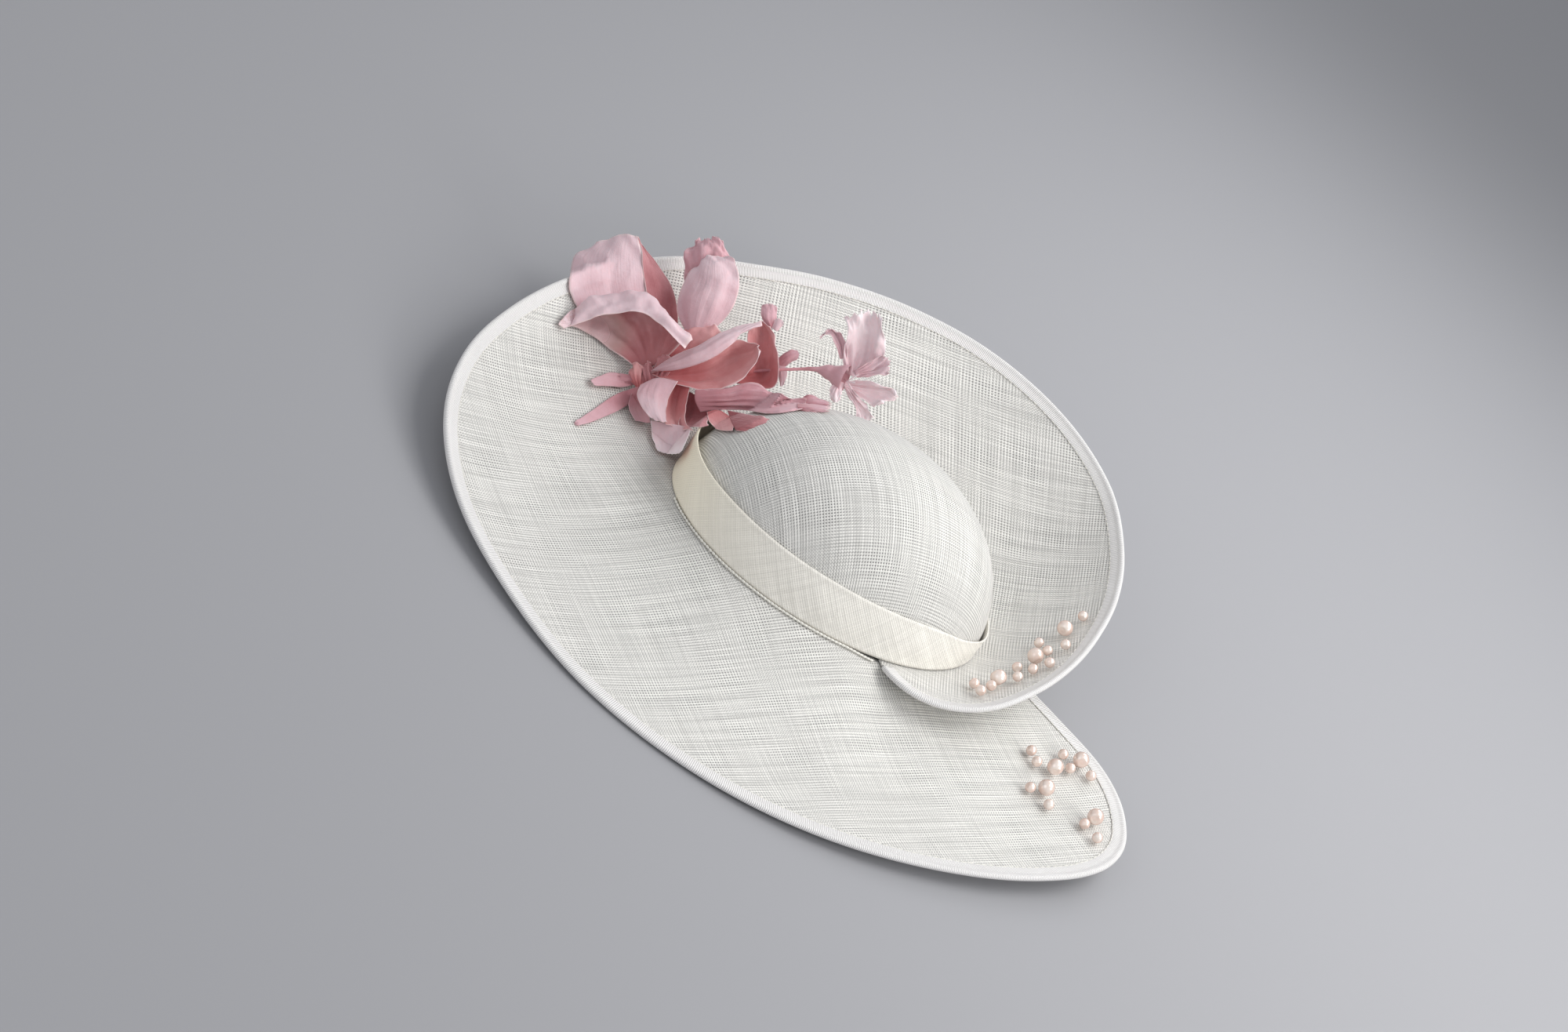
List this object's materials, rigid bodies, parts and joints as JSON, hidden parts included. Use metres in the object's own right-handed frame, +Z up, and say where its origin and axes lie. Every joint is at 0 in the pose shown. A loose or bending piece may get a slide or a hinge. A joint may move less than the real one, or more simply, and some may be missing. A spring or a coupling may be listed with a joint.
{
  "type": "wide-brim hat",
  "caption": "Ivory sinamay hat with an oval crown, a wide brim that rises and laps under itself, pearls and dusty pink silk flowers.",
  "frame": {"origin": "centre of the hat's bounding box, on the surface it lies on", "axes": "+Z up, front of the hat towards -Y, wearer's left towards +X; the hat lies by itself, tilted by about 7 degrees"},
  "size_m": [0.4346, 0.4408, 0.1006],
  "materials": {
    "sinamay": "stiffened open straw weave, matt",
    "ribbon": "cross-ribbed ribbon",
    "band_cloth": "soft bias-cut weave",
    "pearl": "pearl lustre",
    "silk": "thin silk, creased"
  },
  "bodies": {
    "root": {"crown": "sinamay", "brim": "sinamay", "edge_binding": "ribbon", "crown_band": "band_cloth", "pearl_01": "pearl", "pearl_02": "pearl", "pearl_03": "pearl", "pearl_04": "pearl", "pearl_05": "pearl", "pearl_06": "pearl", "pearl_07": "pearl", "pearl_08": "pearl", "pearl_09": "pearl", "pearl_10": "pearl", "pearl_11": "pearl", "pearl_12": "pearl", "pearl_13": "pearl", "pearl_14": "pearl", "pearl_15": "pearl", "pearl_16": "pearl", "pearl_17": "pearl", "pearl_18": "pearl", "pearl_19": "pearl", "pearl_20": "pearl", "pearl_21": "pearl", "pearl_22": "pearl", "pearl_23": "pearl", "pearl_24": "pearl", "pearl_25": "pearl", "pearl_26": "pearl", "pearl_27": "pearl", "large_flower": "silk", "narrow_leaves": "silk", "upper_blossom": "silk", "lower_blossom": "silk", "trumpet_blossom": "silk", "flower_bud": "silk"}
  },
  "joints": []
}
